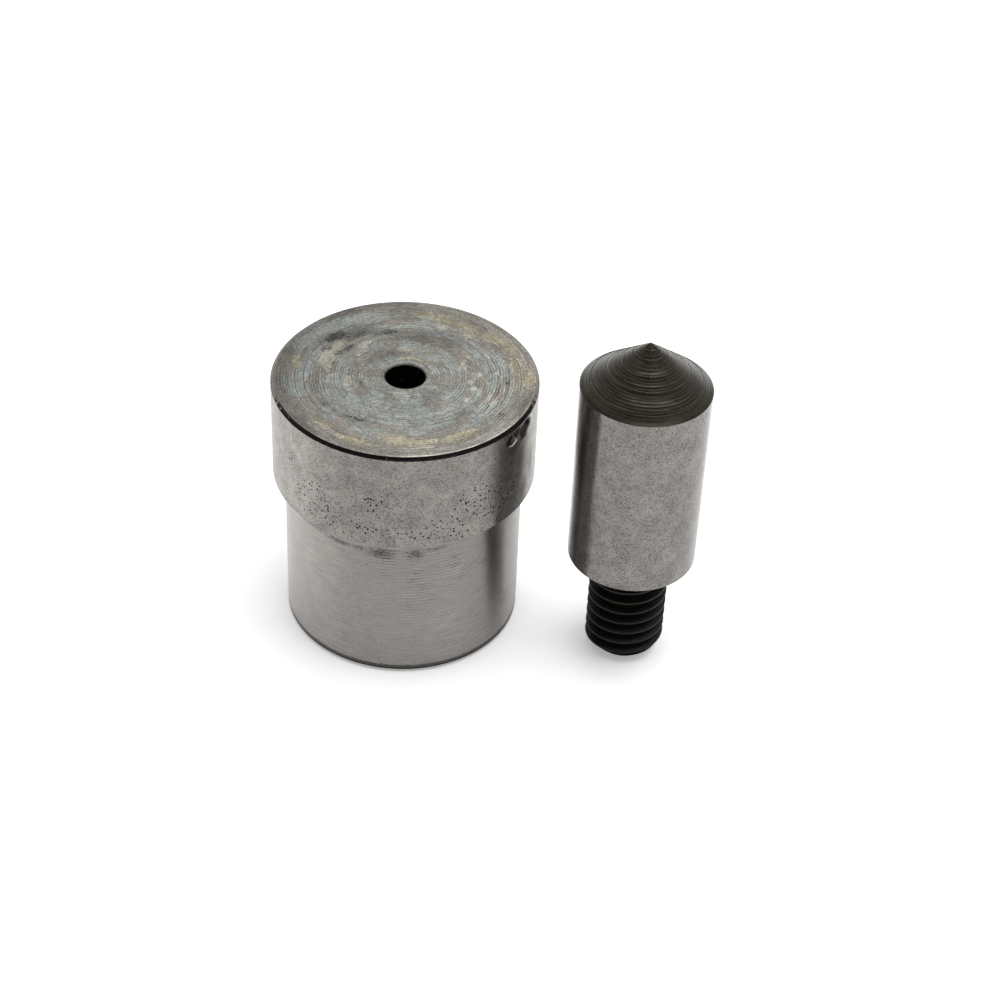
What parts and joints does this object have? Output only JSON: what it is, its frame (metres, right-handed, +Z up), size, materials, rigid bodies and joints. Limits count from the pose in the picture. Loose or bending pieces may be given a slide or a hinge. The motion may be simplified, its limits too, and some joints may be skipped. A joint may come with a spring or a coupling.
{
  "type": "hole punch die",
  "caption": "Round stepped lower die with a small through hole, and a pointed punch head standing beside it on its threaded stud.",
  "frame": {"origin": "on the lower die's axis, in the plane of its base, which is the surface that both pieces stand on", "axes": "+Z up along the die's axis towards its working face, +X from the die towards the punch's side, +Y away from the camera of the picture"},
  "size_m": [0.0322, 0.0198, 0.0283],
  "materials": {
    "die_steel": "hardened tool steel: turned, oxidised face and bevels, ground and lightly pitted sides",
    "punch_steel": "hardened tool steel: ground side, dark turned cone",
    "black_oxide_steel": "black oxide"
  },
  "bodies": {
    "die": {"lower_die": "die_steel"},
    "punch": {"punch_head": "punch_steel", "threaded_stud": "black_oxide_steel"}
  },
  "joints": [
    {"name": "punch_lift", "type": "slide", "parent": "die", "child": "punch", "axis": [0, 0, 1], "range_m": [0, 0.045]}
  ]
}
